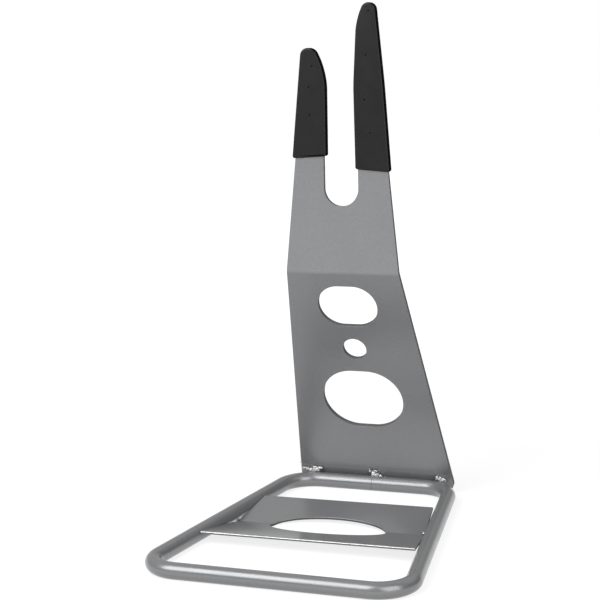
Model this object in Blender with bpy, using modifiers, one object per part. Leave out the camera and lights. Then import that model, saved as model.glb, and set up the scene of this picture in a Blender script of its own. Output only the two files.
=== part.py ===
"""Floor bike stand: a bent tube loop, a folded upright with two prongs, and a tyre cradle.

Metres, X to the right, Y to the back, Z up. The origin is on the floor, in the middle of the
stand's footprint. A wheel stands in the cradle, in a plane along X, and its axle end drops
into the slot between the prongs of the upright beside it.
"""

from math import ceil, cos, pi, radians, sin, tan

import bmesh
import bpy
from mathutils import Matrix, Vector

# Clearance kept between pieces that touch on the real stand
GAP = 0.0003

# Base loop: one round tube bent flat, wider at the front than at the back
TUBE_RADIUS = 0.008
TUBE_WALL = 0.0015
TUBE_SIDES = 24
LOOP_DEPTH = 0.3229
FRONT_WIDTH = 0.2585
REAR_WIDTH = 0.1765
REAR_SHIFT = -0.003
FRONT_BEND = 0.0321
REAR_BEND = 0.0357
SEAM_X = -0.0015
SEAM_GAP = 0.0004

# Upright: one sheet, leaning forward off the rear tube up to the fold, then vertical
UPRIGHT_SHEET = 0.0048
LEAN = radians(23.9)
FOLD_INSIDE_RADIUS = 0.007
FOLD_AT = 0.2644
FOOT_DROP = 0.0095
FOOT_ROUND = 0.011
FOOT_HALF_WIDTH = 0.086
FOLD_HALF_WIDTH = 0.0587
LEFT_TAPER = 0.1065
RIGHT_TAPER = 0.0925

# Holes in the leaning part: height of the centre, half of the straight side, end radius
SMALL_HOLE = (0.1716, 0.0, 0.0125)
TOP_HOLE = (0.224, 0.0072, 0.0241)
BIG_HOLE = (0.1074, 0.0075, 0.036)

# Axle slot and prongs, with heights measured from the fold
SLOT_X = 0.0008
SLOT_HALF_WIDTH = 0.0178
SLOT_ROUND_AT = 0.0847
SHORT_TIP = 0.2195
TALL_TIP = 0.2615
SHORT_FLARE_AT = 0.183
TALL_FLARE_AT = 0.188
SHORT_FLARE = 0.008
TALL_FLARE = 0.0065
FLARE_ROUND = 0.05
TIP_ROUND = 0.0047

# Soft sleeves on the prongs: corners of the front view from the fold up, with their radii
SLEEVE_THICKNESS = 0.0093
SLEEVE_EDGE_ROUND = 0.0018
SHORT_SLEEVE = (
    ((-0.0494, 0.1145), 0.003),
    ((-0.0138, 0.1167), 0.004),
    ((-0.0134, 0.1992), 0.070),
    ((-0.0250, 0.2230), 0.008),
    ((-0.0382, 0.2230), 0.008),
)
TALL_SLEEVE = (
    ((0.0163, 0.1040), 0.003),
    ((0.0516, 0.1012), 0.003),
    ((0.0464, 0.1805), 0.300),
    ((0.0385, 0.2655), 0.0073),
    ((0.0271, 0.2655), 0.007),
    ((0.0194, 0.2490), 0.020),
    ((0.0150, 0.1860), 0.150),
)
SHORT_PINHOLES = ((-0.0266, 0.2055), (-0.0302, 0.1851), (-0.0298, 0.1576))
TALL_PINHOLES = ((0.0324, 0.2576), (0.0291, 0.2152), (0.0273, 0.1722), (0.0325, 0.1398))
PINHOLE_RADIUS = 0.0008

# Tyre cradle: a shallow V trough, its valley along X, cut to fit between the side rails
CRADLE_SHEET = 0.0027
CRADLE_SLOPE = radians(8.6)
CRADLE_FOLD_RADIUS = 0.004
CRADLE_FRONT = 0.0739
CRADLE_REAR = 0.0635
VALLEY_FROM_FRONT_TUBE = 0.1728
VALLEY_HEIGHT = 0.0036
CRADLE_ROLL = radians(0.5)
CRADLE_HOLE_X = -0.0016
CRADLE_HOLE_AHEAD = 0.0054
CRADLE_HOLE_LENGTH = 0.120
CRADLE_HOLE_WIDTH = 0.0577

# Room from each end of the cradle to the rail's centre line: at its front, valley and rear
LEFT_END_ROOM = (0.0079, 0.0094, 0.0082)
RIGHT_END_ROOM = (0.0079, 0.0090, 0.0084)

# Tack welds: place along X, height up the sheet, half length, and thickness of each puddle
UPRIGHT_WELDS = {
    "weld_upright_left": (
        (-0.072, 0.0062, 0.0062, 0.0044),
        (-0.0635, 0.0070, 0.0048, 0.0034),
        (-0.080, 0.0072, 0.0040, 0.0028),
    ),
    "weld_upright_middle": (
        (0.0, 0.0060, 0.0052, 0.0046),
        (0.0062, 0.0048, 0.0034, 0.0032),
    ),
    "weld_upright_right": (
        (0.0705, 0.0058, 0.0042, 0.0042),
        (0.0758, 0.0052, 0.0032, 0.0030),
    ),
}
WELD_OFF_SHEET = 0.0026

# Side, distance behind the valley, and half sizes across, along and up of each cradle tack
CRADLE_WELDS = {
    "weld_cradle_left": (-1, -0.0025, 0.0042, 0.0056, 0.0030),
    "weld_cradle_right": (1, 0.0012, 0.0030, 0.0042, 0.0024),
}
WELD_SUNK_IN_GROOVE = 0.35
WELD_ABOVE_VALLEY = 0.45

# Sizes that follow from the ones above
ARC_STEP = radians(9.0)
ROD_SIDES = 48
TUBE_FLAT = TUBE_RADIUS * cos(pi / TUBE_SIDES)
TUBE_ROOM_RADIUS = (TUBE_RADIUS + GAP) / cos(pi / ROD_SIDES)
UPRIGHT_REACH = cos(LEAN) * (TUBE_RADIUS + GAP + UPRIGHT_SHEET) + sin(LEAN) * FOOT_DROP
REAR_Y = (LOOP_DEPTH + TUBE_FLAT - UPRIGHT_REACH) / 2
FRONT_Y = REAR_Y - LOOP_DEPTH
VALLEY_Y = FRONT_Y + VALLEY_FROM_FRONT_TUBE

# Axes of a flat outline: seen from the right side, and seen from the front
SIDE_VIEW = Matrix(((0, 0, 1, 0), (1, 0, 0, 0), (0, 1, 0, 0), (0, 0, 0, 1)))
FRONT_VIEW = Matrix(((1, 0, 0, 0), (0, 0, -1, 0), (0, 1, 0, 0), (0, 0, 0, 1)))


def clear_scene():
    """Remove whatever the file holds, so that the stand stands alone."""
    for old in list(bpy.data.objects):
        bpy.data.objects.remove(old, do_unlink=True)


def new_collection(name):
    """Return a new collection linked to the scene."""
    collection = bpy.data.collections.new(name)
    bpy.context.scene.collection.children.link(collection)
    return collection


def new_material(name, colour, metallic, roughness):
    """Return a Principled BSDF material."""
    material = bpy.data.materials.new(name)
    material.use_nodes = True
    shader = material.node_tree.nodes["Principled BSDF"]
    shader.inputs["Base Color"].default_value = (*colour, 1.0)
    shader.inputs["Metallic"].default_value = metallic
    shader.inputs["Roughness"].default_value = roughness
    return material


def add_piece(name, mesh, collection, material, placement=None):
    """Put a mesh into the scene as a named, smoothly shaded piece."""
    mesh.name = name
    mesh.materials.clear()
    mesh.materials.append(material)
    mesh.shade_smooth()
    mesh.set_sharp_from_angle(angle=radians(30.0))
    piece = bpy.data.objects.new(name, mesh)
    collection.objects.link(piece)
    if placement is not None:
        piece.matrix_world = placement
    return piece


def add_cutter(name, mesh, collection, placement=None):
    """Put a mesh into the scene as a tool that only cuts or joins other pieces."""
    cutter = bpy.data.objects.new(name, mesh)
    collection.objects.link(cutter)
    cutter.hide_render = True
    cutter.display_type = "WIRE"
    if placement is not None:
        cutter.matrix_world = placement
    return cutter


def combine(piece, tool, operation):
    """Cut the tool out of the piece, or join it on."""
    modifier = piece.modifiers.new(operation.title(), "BOOLEAN")
    modifier.operation = operation
    modifier.solver = "EXACT"
    modifier.object = tool


def rounded(corners, radii, closed=True):
    """Return the points of an outline whose corners are arcs of the given radii."""
    last = len(corners) - 1
    points = []
    for index, radius in enumerate(radii):
        here = Vector(corners[index])
        if radius == 0 or (not closed and index in (0, last)):
            points.append(here)
            continue
        back = (Vector(corners[index - 1]) - here).normalized()
        ahead = (Vector(corners[(index + 1) % len(corners)]) - here).normalized()
        half = back.angle(ahead) / 2
        centre = here + (back + ahead).normalized() * radius / sin(half)
        spoke = here + back * radius / tan(half) - centre
        turn = pi - 2 * half
        side = 1 if ahead.x * back.y - ahead.y * back.x > 0 else -1
        steps = max(2, ceil(turn / ARC_STEP))
        for step in range(steps + 1):
            points.append(centre + Matrix.Rotation(side * turn * step / steps, 2) @ spoke)
    return [p for n, p in enumerate(points) if (p - points[n - 1]).length > 1e-6]


def round_ended(height, half_straight, radius):
    """Return a hole's outline: two half circles joined by straight sides along X."""
    reach = half_straight + radius
    low = height - radius
    high = height + radius
    corners = ((-reach, low), (reach, low), (reach, high), (-reach, high))
    return rounded(corners, (radius,) * 4)


def ellipse(centre_x, centre_y, length, width, count=48):
    """Return the points of an ellipse whose length lies along X."""
    angles = [2 * pi * step / count for step in range(count)]
    return [
        Vector((centre_x + length / 2 * cos(turn), centre_y + width / 2 * sin(turn)))
        for turn in angles
    ]


def mesh_from_curve(curve):
    """Return the mesh that a curve makes, with its loose caps welded on."""
    guide = bpy.data.objects.new("guide", curve)
    bpy.context.scene.collection.objects.link(guide)
    depsgraph = bpy.context.evaluated_depsgraph_get()
    mesh = bpy.data.meshes.new_from_object(guide.evaluated_get(depsgraph))
    bpy.data.objects.remove(guide, do_unlink=True)
    work = bmesh.new()
    work.from_mesh(mesh)
    bmesh.ops.remove_doubles(work, verts=work.verts, dist=1e-6)
    work.to_mesh(mesh)
    work.free()
    return mesh


def add_spline(curve, points, closed):
    """Add a run of straight segments through the points."""
    spline = curve.splines.new("POLY")
    spline.points.add(len(points) - 1)
    for spot, point in zip(spline.points, points):
        spot.co = (*point, 0.0, 1.0) if len(point) == 2 else (*point, 1.0)
    spline.use_cyclic_u = closed
    return spline


def blank(outlines, thickness, edge_round=0.0):
    """Return a flat blank lying in XY: the first outline filled, the others cut out."""
    curve = bpy.data.curves.new("outline", "CURVE")
    curve.dimensions = "2D"
    curve.fill_mode = "BOTH"
    curve.extrude = thickness / 2 - edge_round
    if edge_round:
        curve.bevel_depth = edge_round
        curve.bevel_resolution = 2
        curve.offset = -edge_round
    for points in outlines:
        add_spline(curve, points, closed=True)
    return mesh_from_curve(curve)


def left_of(angle):
    """Return the unit vector to the left of a heading."""
    return Vector((-sin(angle), cos(angle)))


def folded_place(start, heading, bend_at, turn, radius):
    """Return the function that takes a blank's point to its place after one fold.

    The blank's X stays X. Its Y runs along the sheet's middle layer from start, in the
    side view, and its Z goes to the left of that heading.
    """
    side = 1 if turn > 0 else -1

    def place(point):
        along = min(point.y, bend_at)
        bent = min(max(point.y - bend_at, 0.0), abs(turn) * radius)
        beyond = max(point.y - bend_at - abs(turn) * radius, 0.0)
        now = heading + side * bent / radius
        spot = start + left_of(heading - pi / 2) * along
        spot = spot + (left_of(heading) - left_of(now)) * radius * side
        spot = spot + left_of(now - pi / 2) * beyond + left_of(now) * point.z
        return Vector((point.x, spot.x, spot.y))

    return place


def fold(mesh, place, bend_at, bend_length, steps=4):
    """Crease a flat blank across its bend and move every point to its folded place."""
    work = bmesh.new()
    work.from_mesh(mesh)
    for step in range(steps + 1):
        line = (0.0, bend_at + bend_length * step / steps, 0.0)
        everything = work.verts[:] + work.edges[:] + work.faces[:]
        bmesh.ops.bisect_plane(work, geom=everything, plane_co=line, plane_no=(0, 1, 0))
    for point in work.verts:
        point.co = place(point.co)
    work.to_mesh(mesh)
    work.free()


def loop_corners():
    """Return the four corners of the loop's centre line, from the rear left one on."""
    half_front = FRONT_WIDTH / 2
    half_rear = REAR_WIDTH / 2
    return (
        (REAR_SHIFT - half_rear, REAR_Y),
        (-half_front, FRONT_Y),
        (half_front, FRONT_Y),
        (REAR_SHIFT + half_rear, REAR_Y),
    )


def rail_x(side, y):
    """Return where a side rail's centre line is at a depth, left (-1) or right (1)."""
    front_x = side * FRONT_WIDTH / 2
    rear_x = REAR_SHIFT + side * REAR_WIDTH / 2
    return front_x + (rear_x - front_x) * (y - FRONT_Y) / LOOP_DEPTH


def make_base_loop(parts, paint):
    """Bend the tube into the loop, its two ends meeting in a butt joint at the back."""
    left_end = (SEAM_X - SEAM_GAP / 2, REAR_Y)
    right_end = (SEAM_X + SEAM_GAP / 2, REAR_Y)
    corners = (left_end, *loop_corners(), right_end)
    radii = (0.0, REAR_BEND, FRONT_BEND, FRONT_BEND, REAR_BEND, 0.0)
    route = rounded(corners, radii, closed=False)
    curve = bpy.data.curves.new("loop", "CURVE")
    curve.dimensions = "3D"
    curve.twist_mode = "Z_UP"
    curve.bevel_depth = TUBE_RADIUS
    curve.bevel_resolution = (TUBE_SIDES - 4) // 2
    spline = add_spline(curve, [(p.x, p.y, TUBE_FLAT) for p in route], closed=False)
    for spot in spline.points:
        spot.tilt = pi / TUBE_SIDES
    loop = add_piece("base_loop", mesh_from_curve(curve), parts, paint)
    wall = loop.modifiers.new("Wall", "SOLIDIFY")
    wall.thickness = TUBE_WALL
    wall.offset = -1.0
    wall.use_even_offset = True
    return loop


def upright_start():
    """Return the middle of the sheet, in the side view, where it touches the rear tube."""
    away = TUBE_RADIUS + GAP + UPRIGHT_SHEET / 2
    return Vector((REAR_Y + cos(LEAN) * away, TUBE_FLAT + sin(LEAN) * away))


UPRIGHT_HEADING = pi / 2 + LEAN
FOLD_RADIUS = FOLD_INSIDE_RADIUS + UPRIGHT_SHEET / 2
FOLD_SETBACK = (FOLD_INSIDE_RADIUS + UPRIGHT_SHEET) * tan(LEAN / 2)
FOLD_START = FOLD_AT - FOLD_SETBACK
FOLD_LENGTH = LEAN * FOLD_RADIUS
upright_place = folded_place(upright_start(), UPRIGHT_HEADING, FOLD_START, -LEAN, FOLD_RADIUS)


def on_blank(height):
    """Return how far along the upright's blank a height above the fold is."""
    return FOLD_START + FOLD_LENGTH + height - FOLD_SETBACK


FOLD_Z = upright_place(Vector((0.0, on_blank(FOLD_SETBACK), 0.0))).z - FOLD_SETBACK
UPRIGHT_Y = upright_place(Vector((0.0, on_blank(SHORT_TIP), 0.0))).y


def prong_corners(grow=0.0):
    """Return the corners and radii of the slot and both prongs, clockwise from the right.

    Heights are above the fold. Growing them makes the room that a sleeve needs.
    """
    right = SLOT_X + SLOT_HALF_WIDTH - grow
    left = SLOT_X - SLOT_HALF_WIDTH + grow
    tall = TALL_TIP + grow
    short = SHORT_TIP + grow
    floor = SLOT_ROUND_AT - SLOT_HALF_WIDTH
    tip = TIP_ROUND + grow
    return {
        "tall": (
            ((FOLD_HALF_WIDTH - RIGHT_TAPER * tall + grow, tall), tip),
            ((right + TALL_FLARE, tall), tip),
            ((right, TALL_FLARE_AT), FLARE_ROUND),
        ),
        "slot": (
            ((right, floor), SLOT_HALF_WIDTH - grow),
            ((left, floor), SLOT_HALF_WIDTH - grow),
        ),
        "short": (
            ((left, SHORT_FLARE_AT), FLARE_ROUND),
            ((left - SHORT_FLARE, short), tip),
            ((-FOLD_HALF_WIDTH + LEFT_TAPER * short - grow, short), tip),
        ),
    }


def make_upright(parts, paint):
    """Cut the blank of the upright with its slot and holes, and fold it forward."""
    foot = FOOT_HALF_WIDTH
    taper = (FOOT_HALF_WIDTH - FOLD_HALF_WIDTH) / FOLD_AT
    foot = foot + taper * FOOT_DROP
    top = prong_corners()
    rising = [*top["tall"], *top["slot"], *top["short"]]
    corners = [(-foot, -FOOT_DROP), (foot, -FOOT_DROP), (FOLD_HALF_WIDTH, FOLD_AT)]
    corners += [(x, on_blank(height)) for (x, height), radius in rising]
    corners += [(-FOLD_HALF_WIDTH, FOLD_AT)]
    radii = [FOOT_ROUND, FOOT_ROUND, 0.0, *[radius for corner, radius in rising], 0.0]
    holes = [round_ended(*hole) for hole in (SMALL_HOLE, TOP_HOLE, BIG_HOLE)]
    mesh = blank([rounded(corners, radii), *holes], UPRIGHT_SHEET)
    fold(mesh, upright_place, FOLD_START, FOLD_LENGTH)
    return add_piece("upright_plate", mesh, parts, paint)


def front_placement(y):
    """Return the placement of an outline drawn in the front view from the fold up."""
    return Matrix.Translation((0.0, y, FOLD_Z)) @ FRONT_VIEW


def make_pocket(name, side, bottom, tools):
    """Make the room for a prong inside its sleeve, open at the bottom."""
    corners = prong_corners(GAP)[side]
    low = bottom - UPRIGHT_SHEET
    points = [corner for corner, radius in corners]
    radii = [radius for corner, radius in corners]
    if side == "tall":
        outer = (FOLD_HALF_WIDTH - RIGHT_TAPER * low + GAP, low)
        inner = (points[-1][0], low)
        points = [*points, inner, outer]
    else:
        inner = (points[0][0], low)
        outer = (-FOLD_HALF_WIDTH + LEFT_TAPER * low - GAP, low)
        points = [*points, outer, inner]
    outline = rounded(points, [*radii, 0.0, 0.0])
    mesh = blank([outline], UPRIGHT_SHEET + 2 * GAP)
    return add_cutter(name, mesh, tools, front_placement(UPRIGHT_Y))


def make_sleeve(name, side, shape, pinholes, parts, tools, rubber):
    """Make the soft sleeve of one prong, with the small holes in its front face."""
    corners = [corner for corner, radius in shape]
    outline = rounded(corners, [radius for corner, radius in shape])
    mesh = blank([outline], SLEEVE_THICKNESS, SLEEVE_EDGE_ROUND)
    sleeve = add_piece(name, mesh, parts, rubber, front_placement(UPRIGHT_Y))
    bottom = min(height for x, height in corners)
    combine(sleeve, make_pocket(name + "_pocket", side, bottom, tools), "DIFFERENCE")
    depth = SLEEVE_THICKNESS / 2
    for number, (x, height) in enumerate(pinholes):
        bpy.ops.mesh.primitive_cylinder_add(
            vertices=12,
            radius=PINHOLE_RADIUS,
            depth=depth,
            location=(x, UPRIGHT_Y - depth, FOLD_Z + height),
            rotation=(pi / 2, 0.0, 0.0),
        )
        drill = bpy.context.object
        placement = drill.matrix_world.copy()
        drill_mesh = drill.data
        bpy.data.objects.remove(drill, do_unlink=True)
        tool = add_cutter(f"{name}_drill_{number}", drill_mesh, tools, placement)
        combine(sleeve, tool, "DIFFERENCE")
    return sleeve


def cradle_placement():
    """Return the cradle's slight roll: its right end sits higher than its left."""
    level = Matrix.Translation((0.0, 0.0, TUBE_RADIUS))
    return level @ Matrix.Rotation(-CRADLE_ROLL, 4, "Y") @ level.inverted()


def make_cradle(parts, paint):
    """Cut the cradle's blank to the rails, with its oval hole, and fold it to a V."""
    inside = CRADLE_FOLD_RADIUS
    radius = inside + CRADLE_SHEET / 2
    setback = inside * tan(CRADLE_SLOPE)
    bend = 2 * CRADLE_SLOPE * radius
    down = Vector((cos(CRADLE_SLOPE), -sin(CRADLE_SLOPE)))
    start = Vector((VALLEY_Y, VALLEY_HEIGHT)) - down * setback
    start = start - left_of(-CRADLE_SLOPE) * CRADLE_SHEET / 2
    front = setback - CRADLE_FRONT
    rear = bend - setback + CRADLE_REAR
    stations = (
        (front, VALLEY_Y - CRADLE_FRONT * cos(CRADLE_SLOPE)),
        (bend / 2, VALLEY_Y),
        (rear, VALLEY_Y + CRADLE_REAR * cos(CRADLE_SLOPE)),
    )
    right = [(rail_x(1, y) - room, at) for (at, y), room in zip(stations, RIGHT_END_ROOM)]
    left = [(rail_x(-1, y) + room, at) for (at, y), room in zip(stations, LEFT_END_ROOM)]
    left.reverse()
    hole_at = bend / 2 - CRADLE_HOLE_AHEAD
    hole = ellipse(CRADLE_HOLE_X, hole_at, CRADLE_HOLE_LENGTH, CRADLE_HOLE_WIDTH)
    mesh = blank([right + left, hole], CRADLE_SHEET)
    place = folded_place(start, -CRADLE_SLOPE, 0.0, 2 * CRADLE_SLOPE, radius)
    fold(mesh, place, 0.0, bend)
    return add_piece("wheel_cradle", mesh, parts, paint, cradle_placement())


def ball(name, centre, radii, tools, turn=0.0):
    """Return a squashed ball as a tool, its first axis turned up by an angle about X."""
    bpy.ops.mesh.primitive_uv_sphere_add(segments=16, ring_count=10, radius=1.0)
    made = bpy.context.object
    mesh = made.data
    bpy.data.objects.remove(made, do_unlink=True)
    mesh.transform(Matrix.Diagonal((*radii, 1.0)))
    placement = Matrix.Translation(centre) @ Matrix.Rotation(turn, 4, "X")
    return add_cutter(name, mesh, tools, placement)


def rod(name, centre, direction, length, tools):
    """Return a straight round tool that takes up a tube's room, along a direction."""
    radius = TUBE_ROOM_RADIUS
    bpy.ops.mesh.primitive_cylinder_add(vertices=ROD_SIDES, radius=radius, depth=length)
    made = bpy.context.object
    mesh = made.data
    bpy.data.objects.remove(made, do_unlink=True)
    aim = Vector(direction).to_track_quat("Z", "Y").to_matrix().to_4x4()
    return add_cutter(name, mesh, tools, Matrix.Translation(centre) @ aim)


def make_weld(name, puddles, clear_of, parts, tools, metal):
    """Join the puddles of a weld and cut it back from the metal that it lies against."""
    first, *others = puddles
    weld = add_piece(name, first.data.copy(), parts, metal, first.matrix_world.copy())
    bpy.data.objects.remove(first, do_unlink=True)
    for puddle in others:
        combine(weld, puddle, "UNION")
    for tool in clear_of:
        combine(weld, tool, "DIFFERENCE")
    return weld


def make_upright_welds(parts, tools, metal):
    """Tack the upright into the groove that it makes with the rear tube."""
    face = upright_start() + left_of(UPRIGHT_HEADING) * UPRIGHT_SHEET / 2
    up = left_of(UPRIGHT_HEADING - pi / 2)
    out = left_of(UPRIGHT_HEADING)
    tube_middle = (0.0, REAR_Y, TUBE_FLAT)
    tube_room = rod("rear_tube_room", tube_middle, (1, 0, 0), REAR_WIDTH, tools)
    reach = 2 * FOOT_HALF_WIDTH
    outline = rounded(((-reach, -reach), (reach, -reach), (reach, reach), (-reach, reach)), (0,) * 4)
    middle = upright_start()
    axes = Matrix(((1, 0, 0), (0, up.x, out.x), (0, up.y, out.y))).to_4x4()
    placement = Matrix.Translation((0.0, middle.x, middle.y)) @ axes
    sheet_room = blank([outline], UPRIGHT_SHEET + 2 * GAP)
    sheet_room = add_cutter("upright_room", sheet_room, tools, placement)
    for name, puddles in UPRIGHT_WELDS.items():
        balls = []
        for number, (x, height, half_length, thickness) in enumerate(puddles):
            spot = face + up * height + out * WELD_OFF_SHEET
            radii = (half_length, thickness, thickness)
            balls.append(ball(f"{name}_{number}", (x, spot.x, spot.y), radii, tools))
        make_weld(name, balls, (tube_room, sheet_room), parts, tools, metal)


def make_cradle_welds(parts, tools, metal):
    """Tack both ends of the cradle's valley to the side rails."""
    reach = CRADLE_REAR
    rise = reach * tan(CRADLE_SLOPE)
    low = VALLEY_HEIGHT + GAP / cos(CRADLE_SLOPE)
    bottom = low - reach
    bed = [
        (VALLEY_Y - reach, low + rise),
        (VALLEY_Y - reach, bottom),
        (VALLEY_Y + reach, bottom),
        (VALLEY_Y + reach, low + rise),
        (VALLEY_Y, low),
    ]
    under = blank([bed], FRONT_WIDTH)
    room = add_cutter("cradle_room", under, tools, cradle_placement() @ SIDE_VIEW)
    for name, (side, behind, across, along, thick) in CRADLE_WELDS.items():
        y = VALLEY_Y + behind
        x = rail_x(side, y) - side * (TUBE_RADIUS + across * WELD_SUNK_IN_GROOVE)
        height = VALLEY_HEIGHT + x * CRADLE_ROLL + thick * WELD_ABOVE_VALLEY
        rail_middle = (rail_x(side, y), y, TUBE_FLAT)
        heading = (rail_x(side, y + 1.0) - rail_x(side, y), 1.0, 0.0)
        rail_room = rod(name + "_rail_room", rail_middle, heading, reach, tools)
        puddle = ball(name + "_0", (x, y, height), (across, along, thick), tools)
        make_weld(name, [puddle], (rail_room, room), parts, tools, metal)


def main():
    """Build the whole stand."""
    clear_scene()
    parts = new_collection("floor_bike_stand")
    tools = new_collection("cutters")
    paint = new_material("grey_paint", (0.16, 0.16, 0.165), 0.55, 0.28)
    metal = new_material("painted_weld", (0.42, 0.42, 0.43), 0.7, 0.3)
    rubber = new_material("black_sleeve", (0.03, 0.03, 0.032), 0.0, 0.5)
    make_base_loop(parts, paint)
    make_upright(parts, paint)
    make_cradle(parts, paint)
    make_sleeve(
        "short_prong_sleeve", "short", SHORT_SLEEVE, SHORT_PINHOLES, parts, tools, rubber
    )
    make_sleeve("tall_prong_sleeve", "tall", TALL_SLEEVE, TALL_PINHOLES, parts, tools, rubber)
    make_upright_welds(parts, tools, metal)
    make_cradle_welds(parts, tools, metal)


main()
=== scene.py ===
# %% [markdown]
# # A floor bike stand, dressed for its picture
#
# A bicycle is parked in this stand by one wheel. The tyre rolls into a shallow trough near
# the floor, and the end of the axle drops into the slot between the two prongs beside it.
# The real stand is welded from three pieces of steel: a bent tube, a folded upright and the
# trough. It is painted grey, and two soft black sleeves keep the prongs from scratching.
#
# The frame that is loaded here holds the measured stand. Every piece below is modelled over
# its measured body, so nothing has to be fitted afterwards. The lengths are in metres, with
# X to the right, Y to the back and Z up, and the stand rests on the floor at Z = 0.

# %% Load the measured stand
import random
from math import cos, pi, radians, sin, tan

import bmesh
import bpy
from mathutils import Matrix, Vector


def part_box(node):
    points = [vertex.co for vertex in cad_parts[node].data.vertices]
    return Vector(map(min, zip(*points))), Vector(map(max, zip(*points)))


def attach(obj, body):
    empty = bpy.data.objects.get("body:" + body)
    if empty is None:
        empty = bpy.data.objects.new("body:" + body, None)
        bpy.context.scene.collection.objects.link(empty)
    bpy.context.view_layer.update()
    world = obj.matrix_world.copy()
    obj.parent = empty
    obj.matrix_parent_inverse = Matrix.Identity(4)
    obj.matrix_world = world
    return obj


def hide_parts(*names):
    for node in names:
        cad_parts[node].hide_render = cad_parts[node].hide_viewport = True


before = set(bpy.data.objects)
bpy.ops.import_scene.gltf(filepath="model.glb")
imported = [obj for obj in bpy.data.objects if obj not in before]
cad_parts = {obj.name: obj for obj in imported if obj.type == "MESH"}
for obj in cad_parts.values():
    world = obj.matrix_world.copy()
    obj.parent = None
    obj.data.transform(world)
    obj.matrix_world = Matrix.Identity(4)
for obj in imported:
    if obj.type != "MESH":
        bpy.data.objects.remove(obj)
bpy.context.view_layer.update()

# %% [markdown]
# ## The camera
#
# The stand was photographed from a little above its front right, with a long lens, so its
# upright edges stay nearly parallel. The camera's place comes from matching the outlines of
# the loop, the upright and its holes. A camera looks down its own -Z, so it is tipped up
# from straight down, turned about the upright axis, and last rolled about its own line of
# sight. Its lens is given as a focal length in pixels of the 600 pixel picture.

# %% Camera
EYE = (0.488659, -1.425201, 0.483697)
LOOKS_LEFT = radians(19.793)
LOOKS_DOWN = radians(9.352)
ROLL = radians(-1.309)
FOCAL_PIXELS = 1577.056
PICTURE_PIXELS = 600

bpy.ops.object.camera_add(location=EYE)
camera = bpy.context.object
camera.name = "camera"
heading = Matrix.Rotation(LOOKS_LEFT, 4, "Z") @ Matrix.Rotation(pi / 2 - LOOKS_DOWN, 4, "X")
camera.matrix_world = Matrix.Translation(EYE) @ heading @ Matrix.Rotation(ROLL, 4, "Z")
camera.data.lens = FOCAL_PIXELS / PICTURE_PIXELS * camera.data.sensor_width
camera.data.clip_start = 0.01
bpy.context.scene.camera = camera
print(f"a lens of {camera.data.lens:.1f} mm")

# %% [markdown]
# ## Working as by hand
#
# The steps below are the ones a modeller takes in the window: add a simple shape, open it,
# pick some of its corners or faces, and move, extrude, bend or bevel them. A script can't
# click, so `pick` chooses by place. The other helpers put a shape's place into its mesh,
# add a modifier and apply it, round sharp edges, and cut one shape out of another. Rounding
# adds narrow faces, which would tilt the shading of the broad ones beside them, so
# `weigh_normals` lets the broad faces decide.

# %% Helpers: open, pick and finish
HAIR = 1e-5  # Places closer than this count as one
SHARP_EDGE = radians(40)


def deselect_everything():
    """Leave nothing selected, so that the next step acts on the new shape alone."""
    bpy.ops.object.select_all(action="DESELECT")


def take(piece):
    """Make a piece the only one selected, and the active one."""
    deselect_everything()
    piece.select_set(True)
    bpy.context.view_layer.objects.active = piece


def name_piece(name):
    """Name the shape that was just added."""
    piece = bpy.context.object
    piece.name = name
    piece.data.name = name
    bpy.ops.object.transform_apply(location=True, rotation=True, scale=True)
    return piece


def open_mesh(piece):
    """Go into edit mode with everything picked."""
    take(piece)
    bpy.ops.object.mode_set(mode="EDIT")
    bpy.ops.mesh.select_all(action="SELECT")


def close_mesh():
    """Leave edit mode."""
    bpy.ops.object.mode_set(mode="OBJECT")


def pick(piece, kind, test):
    """In edit mode, pick just the VERTs, EDGEs or FACEs whose middle passes a test."""
    bpy.ops.mesh.select_mode(type=kind)
    bpy.ops.mesh.select_all(action="DESELECT")
    mesh = bmesh.from_edit_mesh(piece.data)
    parts = {"VERT": mesh.verts, "EDGE": mesh.edges, "FACE": mesh.faces}[kind]
    for part in parts:
        corners = [part] if kind == "VERT" else part.verts
        middle = sum((corner.co for corner in corners), Vector()) / len(corners)
        if test(middle):
            part.select_set(True)
    mesh.select_flush_mode()
    bmesh.update_edit_mesh(piece.data)


def turn_picked(angle, axis, centre):
    """Turn what is picked, right-handed. With no window the operator turns the other way."""
    bpy.ops.transform.rotate(value=-angle, orient_axis=axis, center_override=centre)


def finish_with(piece, kind, **settings):
    """Give a piece a modifier with these settings, and apply it."""
    take(piece)
    modifier = piece.modifiers.new(kind.title(), kind)
    for setting, value in settings.items():
        setattr(modifier, setting, value)
    bpy.ops.object.modifier_apply(modifier=modifier.name)


def round_edges(piece, width, segments, sharper_than=SHARP_EDGE, **settings):
    """Round the edges of a piece that turn by more than an angle."""
    limit = {"limit_method": "ANGLE", "angle_limit": sharper_than}
    finish_with(piece, "BEVEL", width=width, segments=segments, **limit, **settings)


def weigh_normals(piece):
    """Shade a piece by its broad faces, not by the narrow ones along its edges."""
    finish_with(piece, "WEIGHTED_NORMAL", mode="FACE_AREA", weight=50)


def cut(piece, cutter):
    """Cut one shape out of a piece and throw the cutter away."""
    finish_with(piece, "BOOLEAN", operation="DIFFERENCE", solver="EXACT", object=cutter)
    bpy.data.objects.remove(cutter, do_unlink=True)


def measure(piece):
    """Print how large a piece is, in millimetres, and how many faces it has."""
    size = [round(length * 1000, 1) for length in piece.dimensions]
    print(f"{piece.name}: {size} mm, {len(piece.data.polygons)} faces")


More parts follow.
